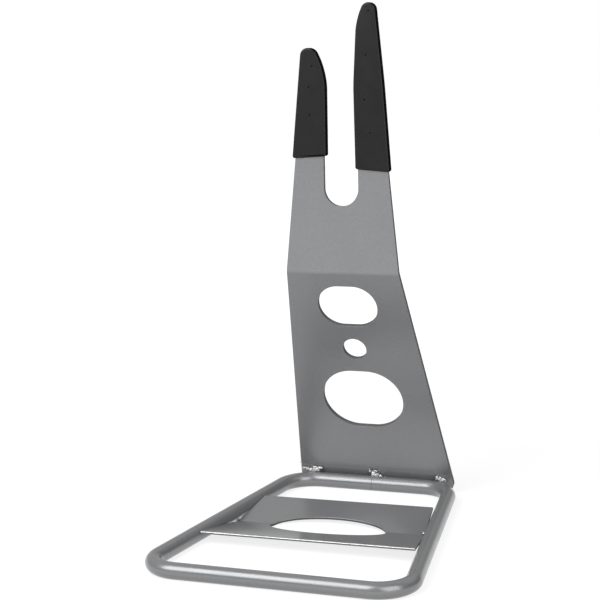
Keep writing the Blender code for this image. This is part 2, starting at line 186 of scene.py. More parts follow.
# %% [markdown]
# ## The base loop
#
# The stand rests on one steel tube, 16 mm across with a 1.5 mm wall, bent four times in one
# plane and butted end to end behind the trough. The front of the loop is wider than its
# back. A curve with a round bevel would draw it in one step, but its bends would be only as
# even as its points. A tube bender does something simpler: it pushes the tube straight,
# then swings it about a centre. Extrude and Spin do the same to a circle, so every bend is a
# true arc, and Solidify gives the wall, which shows at the open seam. The tiny rounding of
# the tube's ends would tilt the shading of the long straight faces beside them, so the
# normals are weighted by area at the end.

# %% Sizes of the loop
loop_low, loop_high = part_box("base_loop")
TUBE_RADIUS = (loop_high.z - loop_low.z) / 2
TUBE_WALL = 0.0015
TUBE_SIDES = 64
FRONT_Y = loop_low.y + TUBE_RADIUS
REAR_Y = loop_high.y - TUBE_RADIUS
FRONT_WIDTH = 0.2585
REAR_WIDTH = 0.1765
REAR_SHIFT = -0.003
FRONT_BEND = 0.0321
REAR_BEND = 0.0357
BEND_STEPS = 28
SEAM_X = -0.0015
SEAM_GAP = 0.0002
TUBE_END_ROUND = 0.0002

LOOP_CORNERS = (
    (Vector((REAR_SHIFT - REAR_WIDTH / 2, REAR_Y, TUBE_RADIUS)), REAR_BEND),
    (Vector((-FRONT_WIDTH / 2, FRONT_Y, TUBE_RADIUS)), FRONT_BEND),
    (Vector((FRONT_WIDTH / 2, FRONT_Y, TUBE_RADIUS)), FRONT_BEND),
    (Vector((REAR_SHIFT + REAR_WIDTH / 2, REAR_Y, TUBE_RADIUS)), REAR_BEND),
)
print(f"loop {(REAR_Y - FRONT_Y) * 1000:.1f} mm deep, tube {TUBE_RADIUS * 2000:.1f} mm across")


# %% Push the tube straight and swing it round each corner
def plan_bend(behind, corner, ahead, radius):
    """Return where a left-hand bend starts, how far it turns, and its centre."""
    coming = (corner - behind).normalized()
    turn = coming.angle(ahead - corner)
    start = corner - coming * radius * tan(turn / 2)
    return start, turn, start + Vector((-coming.y, coming.x, 0.0)) * radius


def bend_tube():
    """Make the loop, from the left side of the seam round to its right side."""
    first = Vector((SEAM_X - SEAM_GAP / 2, REAR_Y, TUBE_RADIUS))
    last = Vector((SEAM_X + SEAM_GAP / 2, REAR_Y, TUBE_RADIUS))
    deselect_everything()
    bpy.ops.mesh.primitive_circle_add(
        vertices=TUBE_SIDES, radius=TUBE_RADIUS, location=first, rotation=(0, pi / 2, 0)
    )
    loop = name_piece("tube_loop")
    open_mesh(loop)
    here = first
    spots = [first, *[corner for corner, radius in LOOP_CORNERS], last]
    for number, (corner, radius) in enumerate(LOOP_CORNERS, start=1):
        start, turn, centre = plan_bend(here, corner, spots[number + 1], radius)
        bpy.ops.mesh.extrude_region_move(TRANSFORM_OT_translate={"value": start - here})
        bpy.ops.mesh.spin(steps=BEND_STEPS, angle=-turn, center=centre, axis=(0, 0, 1))
        here = centre + Matrix.Rotation(turn, 3, "Z") @ (start - centre)
    bpy.ops.mesh.extrude_region_move(TRANSFORM_OT_translate={"value": last - here})
    bpy.ops.mesh.select_all(action="SELECT")
    bpy.ops.mesh.remove_doubles(threshold=HAIR / 10)
    bpy.ops.mesh.normals_make_consistent(inside=False)
    close_mesh()
    return loop


tube_loop = bend_tube()
finish_with(tube_loop, "SOLIDIFY", thickness=TUBE_WALL, offset=-1.0)
round_edges(tube_loop, TUBE_END_ROUND, segments=3, sharper_than=radians(60))
take(tube_loop)
bpy.ops.object.shade_smooth()
weigh_normals(tube_loop)
measure(tube_loop)

# %% [markdown]
# ## Sheet metal: drill, fold and ease the edges
#
# The upright and the trough are both cut flat from sheet and folded afterwards, so both
# start here as a flat slab lying in XY, with its length along Y and its front face up. Holes
# are punched while it is flat, which keeps them round in the sheet. A fold is then made as a
# press makes it, over a small radius: the sheet is creased by a few close lines, and what
# lies beyond each line is turned a little, starting with the last. The points on a line turn
# half as far, so the sheet keeps its thickness through the bend.


# %% Helpers for sheet metal
HOLE_SIDES = 128
CORNER_STEPS = 12
WALL_SLOT = 1  # Slot 0 is the finish of the faces
# Slot 2 is the trough's front edge, whose silvery paint is a painted highlight
HIGHLIGHT_SLOT = 2


def slide_corner(piece, old, new):
    """Move the corner of a slab that lies at old, seen from above, to new."""
    old, new = Vector(old), Vector(new)
    pick(piece, "VERT", lambda place: (place.xy - old).length < HAIR)
    bpy.ops.transform.translate(value=(*(new - old), 0.0))


def pull_up(name, rungs, sheet):
    """Pull a slab up along Y, rung by rung. A rung is its left and right corner, (x, y)."""
    deselect_everything()
    bpy.ops.mesh.primitive_plane_add(size=sheet, rotation=(pi / 2, 0.0, 0.0))
    slab = name_piece(name)
    open_mesh(slab)
    left, right = Vector((-sheet / 2, 0.0)), Vector((sheet / 2, 0.0))
    for number, (new_left, new_right) in enumerate(rungs):
        if number > 0:
            rise = Vector((0.0, (new_left[1] + new_right[1] - left.y - right.y) / 2))
            bpy.ops.mesh.extrude_region_move(TRANSFORM_OT_translate={"value": (*rise, 0.0)})
            left, right = left + rise, right + rise
        slide_corner(slab, left, new_left)
        slide_corner(slab, right, new_right)
        left, right = Vector(new_left), Vector(new_right)
        middle = (left + right) / 2
        pick(slab, "FACE", lambda place: place.y > middle.y - HAIR)
    bpy.ops.mesh.select_all(action="SELECT")
    bpy.ops.mesh.normals_make_consistent(inside=False)
    close_mesh()
    return slab


def long_hole(x, y, half_straight, radius, sheet):
    """Return a punch for a hole with round ends, its straight sides along X."""
    deselect_everything()
    bpy.ops.mesh.primitive_cylinder_add(
        vertices=HOLE_SIDES, radius=radius, depth=3 * sheet, location=(x, y, 0.0)
    )
    punch = name_piece("punch")
    open_mesh(punch)
    for side in (-1, 1):
        pick(punch, "VERT", lambda place: (place.x - x) * side > HAIR)
        bpy.ops.transform.translate(value=(side * half_straight, 0.0, 0.0))
    close_mesh()
    return punch


def round_corners(piece, test, setback):
    """Round a slab's corners that pass a test, each arc starting a setback away from it."""
    open_mesh(piece)
    pick(piece, "EDGE", lambda place: abs(place.z) < HAIR and test(place))
    bpy.ops.mesh.bevel(offset=setback, segments=CORNER_STEPS, affect="EDGES")
    close_mesh()


def fold(piece, bend_at, length, angle, steps):
    """Fold a slab across X. A positive angle turns its far part up, towards +Z."""
    lines = [bend_at + length * step / steps for step in range(steps + 1)]
    open_mesh(piece)
    for line in lines:
        bpy.ops.mesh.select_all(action="SELECT")
        bpy.ops.mesh.bisect(plane_co=(0.0, line, 0.0), plane_no=(0.0, 1.0, 0.0))
    for number in range(steps, -1, -1):
        line = lines[number]
        share = 0.5 if number in (0, steps) else 1.0
        kink = angle * share / steps
        pick(piece, "VERT", lambda place: place.y > line + HAIR)
        turn_picked(kink, "X", (0.0, line, 0.0))
        pick(piece, "VERT", lambda place: abs(place.y - line) <= HAIR)
        turn_picked(kink / 2, "X", (0.0, line, 0.0))
    close_mesh()


def mark_walls(slab):
    """Give the walls of a flat slab, and of its holes, a second finish slot."""
    take(slab)
    bpy.ops.object.material_slot_add()
    bpy.ops.object.material_slot_add()
    open_mesh(slab)
    pick(slab, "FACE", lambda place: abs(place.z) < HAIR)
    slab.active_material_index = WALL_SLOT
    bpy.ops.object.material_slot_assign()
    close_mesh()


def ease_edges(piece, width):
    """Round the cut edges of a sheet, and keep its broad faces shaded flat."""
    take(piece)
    bpy.ops.object.shade_smooth()
    round_edges(piece, width, segments=4, material=0)
    weigh_normals(piece)


# %% [markdown]
# ## The upright
#
# One sheet, nearly 5 mm thick, stands behind the rear tube. It leans forward up to a fold,
# and from there it is vertical. It narrows from foot to fold, and less above it. Three
# holes lighten it: a large and a middle one with round ends, and a small round one between
# them. Above the fold it parts into a short prong on the left and a tall one on the right,
# with a round-bottomed slot between them that takes the axle.

# %% Sizes of the upright
UPRIGHT_SHEET = 0.0048
LEAN = radians(23.9)
FOLD_INSIDE_RADIUS = 0.007
FOLD_AT = 0.2644
FOOT_DROP = 0.0095
FOOT_ROUND = 0.0099
FOOT_HALF_WIDTH = 0.086
FOLD_HALF_WIDTH = 0.0587
SLOT_X = 0.0008
SLOT_HALF_WIDTH = 0.0178
SLOT_ROUND_AT = 0.0847
SLOT_FLARE_AT = 0.186
TIP_ROUND = 0.0047
SHEET_EDGE_ROUND = 0.0009

# How far up the sheet each hole is, half of its straight sides, and its radius
SMALL_HOLE = (0.1716, 0.0, 0.0125)
TOP_HOLE = (0.224, 0.0072, 0.0241)
BIG_HOLE = (0.1074, 0.0075, 0.036)

# Which side of the slot, taper of the outer edge, height of the tip, widening of the slot there
PRONGS = {"short": (-1, 0.1065, 0.2195, 0.0080), "tall": (1, 0.0925, 0.2615, 0.0065)}
SHORT_TIP = PRONGS["short"][2]
TALL_TIP = PRONGS["tall"][2]

FOLD_RADIUS = FOLD_INSIDE_RADIUS + UPRIGHT_SHEET / 2
FOLD_SETBACK = (FOLD_INSIDE_RADIUS + UPRIGHT_SHEET) * tan(LEAN / 2)
FOLD_START = FOLD_AT - FOLD_SETBACK
FOLD_LENGTH = LEAN * FOLD_RADIUS


def on_blank(height):
    """Return how far along the flat blank a height above the fold is."""
    return FOLD_START + FOLD_LENGTH - FOLD_SETBACK + height


def slot_edge(prong, height):
    """Return how far across the edge of a prong beside the slot is, above the fold."""
    side, _, tip, widening = PRONGS[prong]
    opened = max(0.0, height - SLOT_FLARE_AT) / (tip - SLOT_FLARE_AT) * widening
    return SLOT_X + side * (SLOT_HALF_WIDTH + opened)


def outer_edge(prong, height):
    """Return how far across the outer edge of a prong is, above the fold."""
    side, taper = PRONGS[prong][:2]
    return side * (FOLD_HALF_WIDTH - taper * height)


def prong_edges(prong, height):
    """Return the left and right edge of a prong, at a height that the prong reaches."""
    return sorted((slot_edge(prong, height), outer_edge(prong, height)))


print(f"blank {(on_blank(TALL_TIP) + FOOT_DROP) * 1000:.1f} mm long")


# %% Cut the blank of the upright
def cut_upright_blank():
    """Make the flat slab of the upright, with its taper and holes."""
    top = on_blank(TALL_TIP)
    foot = FOOT_HALF_WIDTH * (1 + FOOT_DROP / FOLD_AT) - FOLD_HALF_WIDTH * FOOT_DROP / FOLD_AT
    rungs = (
        ((-foot, -FOOT_DROP), (foot, -FOOT_DROP)),
        ((-FOLD_HALF_WIDTH, FOLD_AT), (FOLD_HALF_WIDTH, FOLD_AT)),
        ((outer_edge("short", TALL_TIP), top), (outer_edge("tall", TALL_TIP), top)),
    )
    blank = pull_up("upright", rungs, UPRIGHT_SHEET)
    round_corners(blank, lambda place: place.y < 0.0, FOOT_ROUND)
    for height, half_straight, radius in (SMALL_HOLE, TOP_HOLE, BIG_HOLE):
        cut(blank, long_hole(0.0, height, half_straight, radius, UPRIGHT_SHEET))
    return blank


def part_the_prongs(blank):
    """Cut the slot, open it towards the tips, and shorten the left prong."""
    beyond = TALL_TIP + UPRIGHT_SHEET
    cut(blank, long_hole(SLOT_X, on_blank(SLOT_ROUND_AT), 0.0, SLOT_HALF_WIDTH, UPRIGHT_SHEET))
    heights = (SLOT_ROUND_AT, SLOT_FLARE_AT, beyond)
    sides = [(slot_edge("short", height), slot_edge("tall", height)) for height in heights]
    rungs = [
        ((left, on_blank(height)), (right, on_blank(height)))
        for (left, right), height in zip(sides, heights)
    ]
    cut(blank, pull_up("slot", rungs, 3 * UPRIGHT_SHEET))
    above_short = [
        ((-FOLD_HALF_WIDTH, on_blank(height)), (SLOT_X, on_blank(height)))
        for height in (SHORT_TIP, beyond)
    ]
    cut(blank, pull_up("above_short", above_short, 3 * UPRIGHT_SHEET))
    open_mesh(blank)
    bpy.ops.mesh.remove_doubles(threshold=HAIR)
    close_mesh()
    round_corners(blank, lambda place: place.y > on_blank(SHORT_TIP) - HAIR, TIP_ROUND)


upright = cut_upright_blank()
part_the_prongs(upright)
mark_walls(upright)
measure(upright)

# %% [markdown]
# The blank is folded back by the lean, then stood up behind the rear tube, with the same
# gap of a third of a millimetre to the tube that the measured model has. The press
# leaves the sheet's edges slightly rounded, and the paint rounds them more: that is the thin
# light line round every hole.

# %% Fold the upright and stand it up
TUBE_OUTSIDE = 0.008
CLEARANCE = 0.0003
SHEET_AWAY = TUBE_OUTSIDE + CLEARANCE + UPRIGHT_SHEET / 2
SHEET_OUT = Vector((0.0, -cos(LEAN), -sin(LEAN)))
SHEET_UP = Vector((0.0, -sin(LEAN), cos(LEAN)))
SHEET_START = Vector((0.0, REAR_Y, TUBE_RADIUS)) - SHEET_OUT * SHEET_AWAY

fold(upright, FOLD_START, FOLD_LENGTH, -LEAN, steps=8)
take(upright)
upright.rotation_euler = (pi / 2 + LEAN, 0.0, 0.0)
upright.location = SHEET_START
bpy.ops.object.transform_apply(location=True, rotation=True, scale=True)
ease_edges(upright, SHEET_EDGE_ROUND)
measure(upright)

# %% [markdown]
# ## The trough
#
# The tyre stands in a shallow V of thinner sheet between the side rails, with a large oval
# hole that lets the tyre sink in and keeps it from creeping. Its ends follow the slant of
# the rails. It is made as the upright is: a slab whose corners are slid to the rails, an
# oval punch, and one gentle fold along the valley. The upper front edge, which the tyre
# rolls over, is rounded most. On the real stand the trough sits a touch higher at its right
# end, so the finished piece is rolled by half a degree.

# %% Sizes of the trough
CRADLE_SHEET = 0.0027
CRADLE_SLOPE = radians(8.6)
CRADLE_FOLD_RADIUS = 0.004
CRADLE_FRONT = 0.0739
CRADLE_REAR = 0.0635
VALLEY_Y = FRONT_Y + 0.1728
VALLEY_HEIGHT = 0.0036
CRADLE_ROLL = radians(0.5)
OVAL_X = -0.0016
OVAL_AHEAD = 0.0054
OVAL_LENGTH = 0.120
OVAL_WIDTH = 0.0577
CRADLE_EDGE_ROUND = 0.0006
FRONT_EDGE_ROUND = 0.0014
FRONT_EDGE_STEPS = 6

# From the rails' centre lines to the trough's ends: at its front, its valley and its rear
LEFT_END_ROOM = (0.0079, 0.0086, 0.0082)
RIGHT_END_ROOM = (0.0079, 0.0090, 0.0084)


def rail_x(side, y):
    """Return where a side rail's centre line is at a depth, left (-1) or right (1)."""
    front_x = side * FRONT_WIDTH / 2
    rear_x = REAR_SHIFT + side * REAR_WIDTH / 2
    return front_x + (rear_x - front_x) * (y - FRONT_Y) / (REAR_Y - FRONT_Y)


print(f"valley at y = {VALLEY_Y * 1000:.1f} mm")


# %% Cut, fold and lay the trough
def round_front_edge(slab, front):
    """Round the upper front edge of the flat trough, and give it a third finish slot, for its
    painted highlight.
    """
    take(slab)
    bpy.ops.object.material_slot_add()
    open_mesh(slab)
    top = CRADLE_SHEET / 2
    pick(slab, "EDGE", lambda place: place.y < front + HAIR and place.z > top - HAIR)
    bpy.ops.mesh.bevel(offset=FRONT_EDGE_ROUND, segments=FRONT_EDGE_STEPS, affect="EDGES")
    # The front edge's slot wears silvery paint: a painted highlight
    slab.active_material_index = HIGHLIGHT_SLOT
    bpy.ops.object.material_slot_assign()
    close_mesh()
    bright = [face for face in slab.data.polygons if face.material_index == HIGHLIGHT_SLOT]
    print("the front edge is rounded by", len(bright), "faces")


def make_cradle():
    """Make the trough that the tyre stands in."""
    setback = CRADLE_FOLD_RADIUS * tan(CRADLE_SLOPE)
    bend = 2 * CRADLE_SLOPE * (CRADLE_FOLD_RADIUS + CRADLE_SHEET / 2)
    front = setback - CRADLE_FRONT
    rear = bend - setback + CRADLE_REAR
    depths = (
        (front, VALLEY_Y - CRADLE_FRONT * cos(CRADLE_SLOPE)),
        (bend / 2, VALLEY_Y),
        (rear, VALLEY_Y + CRADLE_REAR * cos(CRADLE_SLOPE)),
    )
    rungs = [
        ((rail_x(-1, y) + left_room, along), (rail_x(1, y) - right_room, along))
        for (along, y), left_room, right_room in zip(depths, LEFT_END_ROOM, RIGHT_END_ROOM)
    ]
    trough = pull_up("cradle", rungs, CRADLE_SHEET)
    oval = long_hole(0.0, 0.0, 0.0, 1.0, CRADLE_SHEET)
    take(oval)
    oval.scale = (OVAL_LENGTH / 2, OVAL_WIDTH / 2, 1.0)
    oval.location = (OVAL_X, bend / 2 - OVAL_AHEAD, 0.0)
    bpy.ops.object.transform_apply(location=True, rotation=True, scale=True)
    cut(trough, oval)
    mark_walls(trough)
    round_front_edge(trough, front)
    fold(trough, 0.0, bend, 2 * CRADLE_SLOPE, steps=5)
    lay_cradle(trough, setback)
    return trough


def lay_cradle(trough, setback):
    """Put the folded trough's valley in its place between the rails, and roll it."""
    slope = Matrix.Rotation(-CRADLE_SLOPE, 4, "X")
    start = slope @ Vector((0.0, -setback, -CRADLE_SHEET / 2))
    valley = Vector((0.0, VALLEY_Y, VALLEY_HEIGHT))
    pivot = Matrix.Translation((0.0, 0.0, TUBE_OUTSIDE))
    roll = pivot @ Matrix.Rotation(-CRADLE_ROLL, 4, "Y") @ pivot.inverted()
    take(trough)
    trough.matrix_world = roll @ Matrix.Translation(valley + start) @ slope
    bpy.ops.object.transform_apply(location=True, rotation=True, scale=True)


cradle = make_cradle()
ease_edges(cradle, CRADLE_EDGE_ROUND)
measure(cradle)

# %% [markdown]
# ## The soft sleeves
#
# Each prong wears a black sleeve of soft plastic, pushed on from its tip. Its faces are flat,
# its rim is softly rounded, and its mouth is cut a little askew. A ring drawn upwards would
# do for a straight sock, but it pinches its rim where it narrows to a round tip. A slab keeps
# one even rim: it is pulled up rung by rung, its corners are rounded to their own radii, and
# then the whole rim is. Last, a plug a hair larger than the prong cuts the pocket, and a
# needle pricks the few pinholes that let the air out as the sleeve is pushed on.

# %% Outlines of the sleeves, seen from the front
tall_low, tall_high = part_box("tall_prong_sleeve")
SLEEVE_THICKNESS = tall_high.y - tall_low.y
SLEEVE_Y = (tall_high.y + tall_low.y) / 2
TALL_TOP = 0.2655
SHORT_TOP = 0.2230
FOLD_Z = tall_high.z - TALL_TOP

# Each side runs from the mouth up: how far across, how high, and the radius of that corner
SLEEVE_SIDES = {
    "short": (
        ((-0.0494, 0.1145, 0.0022), (-0.0407, 0.1992, 0.0), (-0.0382, SHORT_TOP, 0.0075)),
        ((-0.0138, 0.1167, 0.0022), (-0.0134, 0.1992, 0.070), (-0.0250, SHORT_TOP, 0.0085)),
    ),
    "tall": (
        (
            (0.0163, 0.1040, 0.0022),
            (0.0155, 0.1860, 0.200),
            (0.0193, 0.2490, 0.060),
            (0.0271, TALL_TOP, 0.0072),
        ),
        (
            (0.0516, 0.1012, 0.0022),
            (0.0459, 0.1860, 0.300),
            (0.0400, 0.2490, 0.0),
            (0.0385, TALL_TOP, 0.0073),
        ),
    ),
}

# How far across each pinhole is, and how far above the fold
PINHOLES = {
    "short": ((-0.0266, 0.2055), (-0.0302, 0.1851), (-0.0298, 0.1576)),
    "tall": ((0.0324, 0.2576), (0.0291, 0.2152), (0.0273, 0.1722), (0.0325, 0.1398)),
}
print("the sleeves are", round(SLEEVE_THICKNESS * 1000, 1), "mm thick")


# %% Pull up, round and hollow the sleeves
SLEEVE_RIM = 0.0016
MOUTH_RIM = 0.0003
POCKET_ROOM = 0.00025
PINHOLE_SIDES = 24
PINHOLE_RADIUS = 0.0008
PINHOLE_DEPTH = 0.0018


def round_outline(piece, corners):
    """Round a slab's corners, given in order round it as (x, y, radius)."""
    for number, (x, y, radius) in enumerate(corners):
        if radius > 0.0:
            here = Vector((x, y))
            coming = here - Vector(corners[number - 1][:2])
            going = Vector(corners[(number + 1) % len(corners)][:2]) - here
            setback = radius * tan(coming.angle(going) / 2)
            round_corners(piece, lambda place: (place.xy - here).length < HAIR, setback)


def make_plug(prong, mouth):
    """Return a copy of a prong, a hair larger all round, that starts below the mouth."""
    rungs = []
    for height in (mouth - SLEEVE_THICKNESS, SLOT_FLARE_AT, PRONGS[prong][2] + POCKET_ROOM):
        left, right = prong_edges(prong, height)
        rungs.append(((left - POCKET_ROOM, height), (right + POCKET_ROOM, height)))
    return pull_up("plug", rungs, UPRIGHT_SHEET + 2 * POCKET_ROOM)


def prick(sleeve, x, height):
    """Prick a pinhole in the front face of a sleeve, while it lies flat."""
    deselect_everything()
    bpy.ops.mesh.primitive_cylinder_add(
        vertices=PINHOLE_SIDES,
        radius=PINHOLE_RADIUS,
        depth=2 * PINHOLE_DEPTH,
        location=(x, height, SLEEVE_THICKNESS / 2),
    )
    cut(sleeve, name_piece("needle"))


def make_sleeve(prong):
    """Make one sleeve, and stand it round its prong."""
    left_side, right_side = SLEEVE_SIDES[prong]
    rungs = [(left[:2], right[:2]) for left, right in zip(left_side, right_side)]
    sleeve = pull_up(f"{prong}_sleeve", rungs, SLEEVE_THICKNESS)
    round_outline(sleeve, [*right_side, *reversed(left_side)])
    mark_walls(sleeve)
    take(sleeve)
    bpy.ops.object.shade_smooth()
    round_edges(sleeve, SLEEVE_RIM, segments=6)
    mouth = left_side[0][1]
    cut(sleeve, make_plug(prong, mouth))
    for x, height in PINHOLES[prong]:
        prick(sleeve, x, height)
    sleeve.rotation_euler = (pi / 2, 0.0, 0.0)
    sleeve.location = (0.0, SLEEVE_Y, FOLD_Z)
    take(sleeve)
    bpy.ops.object.transform_apply(location=True, rotation=True, scale=True)
    round_edges(sleeve, MOUTH_RIM, segments=2)
    weigh_normals(sleeve)
    measure(sleeve)
    return sleeve


short_sleeve = make_sleeve("short")
tall_sleeve = make_sleeve("tall")

# %% [markdown]
# ## The tack welds
#
# Nothing is screwed on this stand: three tacks hold the upright to the rear tube, and one
# at each end of the valley holds the trough to the side rails. A tack is a few puddles of
# metal that froze one over the other, with small drops spat round it, all painted over. Each
# one is modelled from squashed balls, which Remesh melts into one lump, and two sizes of
# noise push the lump out of its even shape. The spatter is added as small balls, sunk
# about a third into the sheet or into the straight line of the rear tube. They are strewn
# by chance, so a few stand off the metal, where the tube bends away or past the sheet's edge.

# %% Puddles of the welds: along X, up the sheet, half length, thickness
UPRIGHT_WELDS = {
    "weld_upright_left": (
        (-0.0728, 0.0064, 0.0034, 0.0038),
        (-0.0692, 0.0074, 0.0032, 0.0042),
        (-0.0655, 0.0088, 0.0036, 0.0030),
        (-0.0622, 0.0112, 0.0032, 0.0017),
        (-0.0680, 0.0114, 0.0030, 0.0016),
        (-0.0768, 0.0088, 0.0024, 0.0026),
        (-0.0808, 0.0096, 0.0026, 0.0020),
        (-0.0652, 0.0048, 0.0030, 0.0024),
    ),
    "weld_upright_middle": (
        (-0.0012, 0.0074, 0.0034, 0.0046),
        (0.0022, 0.0066, 0.0030, 0.0036),
        (0.0062, 0.0052, 0.0024, 0.0022),
        (-0.0050, 0.0118, 0.0016, 0.0014),
        (0.0014, 0.0122, 0.0022, 0.0013),
    ),
    "weld_upright_right": (
        (0.0698, 0.0084, 0.0026, 0.0034),
        (0.0728, 0.0070, 0.0028, 0.0036),
        (0.0768, 0.0068, 0.0026, 0.0026),
    ),
}
PUDDLE_OFF_SHEET = 0.0022
PUDDLE_ROUNDNESS = 4
MELT = 0.00022
LUMP_WIDTH = 0.0022
LUMP_PUSH = 0.0011
GRIT_WIDTH = 0.0007
GRIT_PUSH = 0.0003


def on_sheet(x, height, off):
    """Return a point in front of the leaning sheet: across, up the sheet, off its face."""
    face = SHEET_START + SHEET_OUT * UPRIGHT_SHEET / 2
    return face + SHEET_UP * height + SHEET_OUT * off + Vector((x, 0.0, 0.0))


def add_ball(centre, radii, roundness, tilt=0.0):
    """Add a squashed ball of metal, tipped with the sheet it lies on."""
    deselect_everything()
    bpy.ops.mesh.primitive_ico_sphere_add(
        subdivisions=roundness, radius=1.0, location=centre, rotation=(tilt, 0.0, 0.0)
    )
    bpy.context.object.scale = radii
    return name_piece("drop")


def join(name, pieces):
    """Join shapes into one piece."""
    deselect_everything()
    for piece in pieces:
        piece.select_set(True)
    bpy.context.view_layer.objects.active = pieces[0]
    bpy.ops.object.join()
    pieces[0].name = name
    pieces[0].data.name = name
    return pieces[0]


lumps = bpy.data.textures.new("lumps", "CLOUDS")
lumps.noise_scale = LUMP_WIDTH
grit = bpy.data.textures.new("grit", "CLOUDS")
grit.noise_scale = GRIT_WIDTH


def melt(lump):
    """Run the joined balls together and roughen them as frozen metal is."""
    finish_with(lump, "REMESH", mode="VOXEL", voxel_size=MELT)
    for noise, push in ((lumps, LUMP_PUSH), (grit, GRIT_PUSH)):
        finish_with(
            lump, "DISPLACE", texture=noise, texture_coords="LOCAL", strength=push, mid_level=0.5
        )
    take(lump)
    bpy.ops.object.shade_smooth()


# %% Lay the welds of the upright
SPATTER_SEED = 11
SPATTER_COUNT = 12
SPATTER_PAST_ENDS = 0.006
DROP_ROUNDNESS = 2
DROP_RADII = (0.00025, 0.0006)
DROP_FLATNESS = 0.8
DROP_STANDS_OFF = 0.3
DROPS_UP_SHEET = (0.010, 0.0155)
DROPS_ROUND_TUBE = (radians(50), radians(100))


def spatter(dice, middle_x, reach):
    """Return small drops spat round a weld, on the sheet and along the rear tube's line."""
    drops = []
    for number in range(SPATTER_COUNT):
        x = middle_x + dice.uniform(-reach, reach)
        size = dice.uniform(*DROP_RADII)
        off = size * DROP_STANDS_OFF
        lands_on_tube = number % 3 == 0
        if lands_on_tube:
            angle = dice.uniform(*DROPS_ROUND_TUBE)
            across = Vector((0.0, -cos(angle), sin(angle))) * (TUBE_RADIUS + off)
            spot = Vector((x, REAR_Y, TUBE_RADIUS)) + across
        else:
            spot = on_sheet(x, dice.uniform(*DROPS_UP_SHEET), off)
        radii = (size, size, size * DROP_FLATNESS)
        drops.append(add_ball(spot, radii, DROP_ROUNDNESS, LEAN))
    return drops


def lay_upright_weld(name, puddles, dice):
    """Make one tack between the upright and the rear tube."""
    balls = []
    for x, height, half_length, thickness in puddles:
        spot = on_sheet(x, height, PUDDLE_OFF_SHEET)
        radii = (half_length, thickness, thickness)
        balls.append(add_ball(spot, radii, PUDDLE_ROUNDNESS, LEAN))
    lump = join(name + "_bead", balls)
    melt(lump)
    places = [puddle[0] for puddle in puddles]
    middle = (min(places) + max(places)) / 2
    reach = (max(places) - min(places)) / 2 + SPATTER_PAST_ENDS
    drops = spatter(dice, middle, reach)
    weld = join(name + "_bead", [lump, *drops])
    take(weld)
    bpy.ops.object.shade_smooth()
    measure(weld)
    return weld


dice = random.Random(SPATTER_SEED)
welds = {
    name: lay_upright_weld(name, puddles, dice) for name, puddles in UPRIGHT_WELDS.items()
}

# %% [markdown]
# The trough's tacks are smaller. They sit in the corner between the end of the valley and
# the round side of the rail, where the measured model has them, and stop up to half a
# millimetre short of the metal. Each has just two drops beside it, on the trough, which
# are roughened along with it.

# %% Lay the welds of the trough
# The two puddles of each tack, as steps from its middle, and their size
CRADLE_TACKS = {
    "weld_cradle_left": (((-0.0010, -0.0006, 0.0), (0.0, 0.0016, 0.0)), 0.0018),
    "weld_cradle_right": (((0.0, -0.0008, 0.0), (-0.0006, 0.0014, 0.0002)), 0.0019),
}
TACK_SHAPE = (1.0, 1.15, 0.75)
TACK_DROP_COUNT = 2
TACK_DROP_RADII = (0.0003, 0.0005)
TACK_DROPS_INWARD = (0.002, 0.006)
TACK_DROPS_ALONG = (-0.006, 0.006)


def lay_trough_weld(name, steps, size, dice):
    """Make one tack between an end of the valley and a side rail."""
    low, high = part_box(name)
    middle = (low + high) / 2
    radii = tuple(size * share for share in TACK_SHAPE)
    balls = [add_ball(middle + Vector(step), radii, PUDDLE_ROUNDNESS) for step in steps]
    inward = 1 if middle.x < 0 else -1
    for _ in range(TACK_DROP_COUNT):
        across = inward * dice.uniform(*TACK_DROPS_INWARD)
        off = Vector((across, dice.uniform(*TACK_DROPS_ALONG), 0.0))
        radius = dice.uniform(*TACK_DROP_RADII)
        rise = abs(middle.y + off.y - VALLEY_Y) * tan(CRADLE_SLOPE)
        spot = Vector((middle.x + off.x, middle.y + off.y, VALLEY_HEIGHT + rise))
        spot.z += middle.x * sin(CRADLE_ROLL)
        balls.append(add_ball(spot, (radius, radius, radius), DROP_ROUNDNESS))
    tack = join(name + "_bead", balls)
    melt(tack)
    measure(tack)
    return tack


for name, (steps, size) in CRADLE_TACKS.items():
    welds[name] = lay_trough_weld(name, steps, size, dice)

# %% [markdown]
# ## Finishes
#
# The paint is a smooth, glossy grey with a metallic flake in it and a clear top. Seen square
# on it is plain grey; at a low angle it mirrors what stands behind. Four things keep it
# from looking like plastic: the flake, a very fine orange peel, slow waves that bend what
# it mirrors, and patches a few centimetres wide where the grey is a shade lighter.
# Everything reads Object coordinates, so the pattern has the same size on every piece. The
# shear leaves the walls of the sheets and of their holes rough, so the paint there is dull;
# its darker grey is painted shade. The trough's front edge wears a silvery paint, a painted
# highlight.


# %% Helpers for materials
NOISE_SPAN = (0.3, 0.7)  # Where nearly all of a noise lies
COLOUR_SOCKETS = (6, 7)  # A Mix node has sockets for every kind of value, and these mix colours
MIXED_COLOUR = 2


def new_finish(name):
    """Return a new material, its node tree, and its Principled BSDF."""
    material = bpy.data.materials.new(name)
    material.use_nodes = True
    tree = material.node_tree
    return material, tree, tree.nodes["Principled BSDF"]


def add_node(tree, kind, sockets=None, **settings):
    """Add a node, set its unlinked sockets by name, and then its own settings."""
    node = tree.nodes.new(kind)
    for socket, value in (sockets or {}).items():
        node.inputs[socket].default_value = value
    for setting, value in settings.items():
        setattr(node, setting, value)
    return node


def add_noise(tree, scale, detail=2.0):
    """Return the factor of a noise that reads the piece's own coordinates, in metres."""
    place = tree.nodes.get("Place") or add_node(tree, "ShaderNodeTexCoord", name="Place")
    noise = add_node(tree, "ShaderNodeTexNoise", {"Scale": scale, "Detail": detail})
    tree.links.new(place.outputs["Object"], noise.inputs["Vector"])
    return noise.outputs["Fac"]


